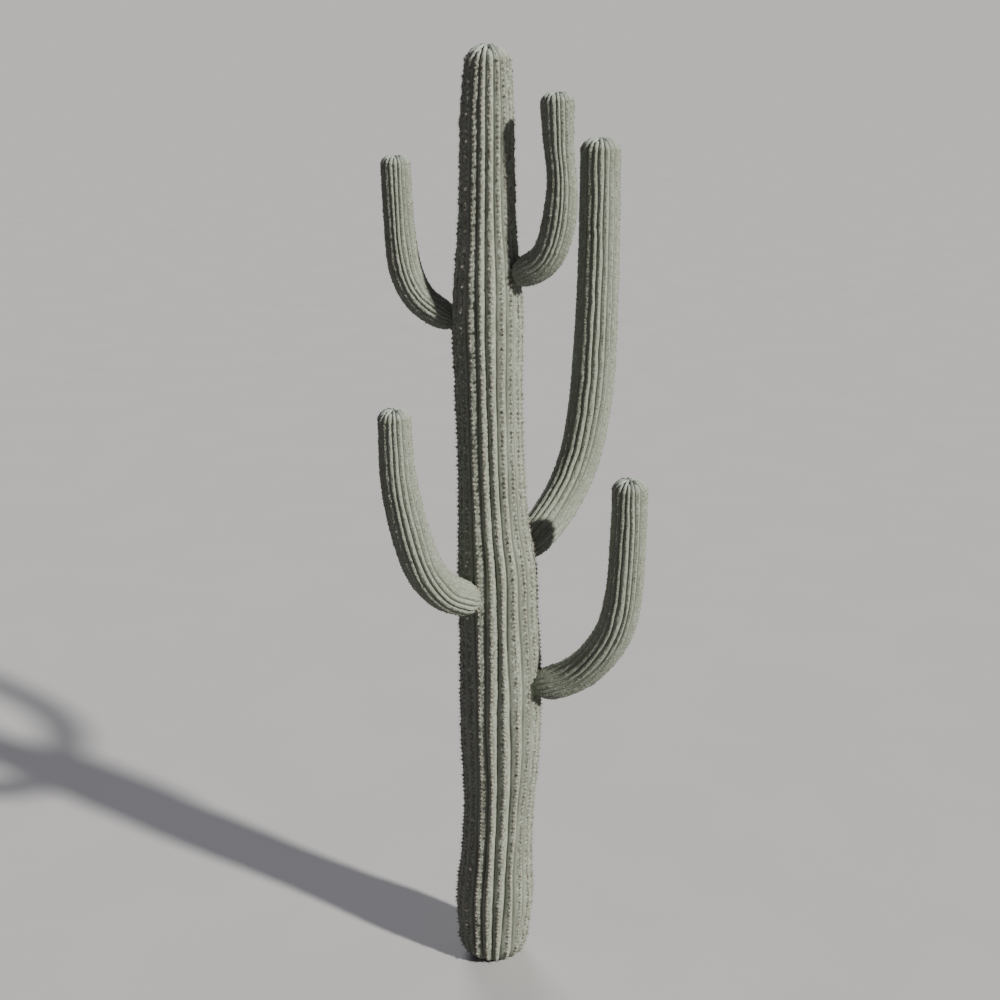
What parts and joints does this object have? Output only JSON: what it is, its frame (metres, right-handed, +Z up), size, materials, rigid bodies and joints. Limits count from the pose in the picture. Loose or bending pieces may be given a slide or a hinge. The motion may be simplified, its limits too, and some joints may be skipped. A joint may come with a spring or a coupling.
{
  "type": "saguaro cactus",
  "caption": "Mature columnar saguaro cactus with a ribbed, slightly leaning trunk and upturned ribbed arms, rooted in level ground.",
  "frame": {"origin": "centre of the flat cut under the trunk, at ground level", "axes": "+Z up along the trunk, +X to the right and -Y to the front, so the low left arm leans to the left and forward"},
  "size_m": [2.3887, 2.1746, 9.04],
  "materials": {
    "trunk_skin": "matte, dusty grey-green ribbed skin with pale spine clusters",
    "arm_skin": "matte, pale grey-green ribbed skin"
  },
  "bodies": {
    "root": {"trunk": "trunk_skin", "low_right_arm_elbow": "arm_skin", "low_right_arm_upright": "arm_skin", "low_left_arm_elbow": "arm_skin", "low_left_arm_upright": "arm_skin", "tall_arm_elbow": "arm_skin", "tall_arm_upright": "arm_skin", "high_left_arm_elbow": "arm_skin", "high_left_arm_upright": "arm_skin", "high_right_arm_elbow": "arm_skin", "high_right_arm_upright": "arm_skin"}
  },
  "joints": []
}
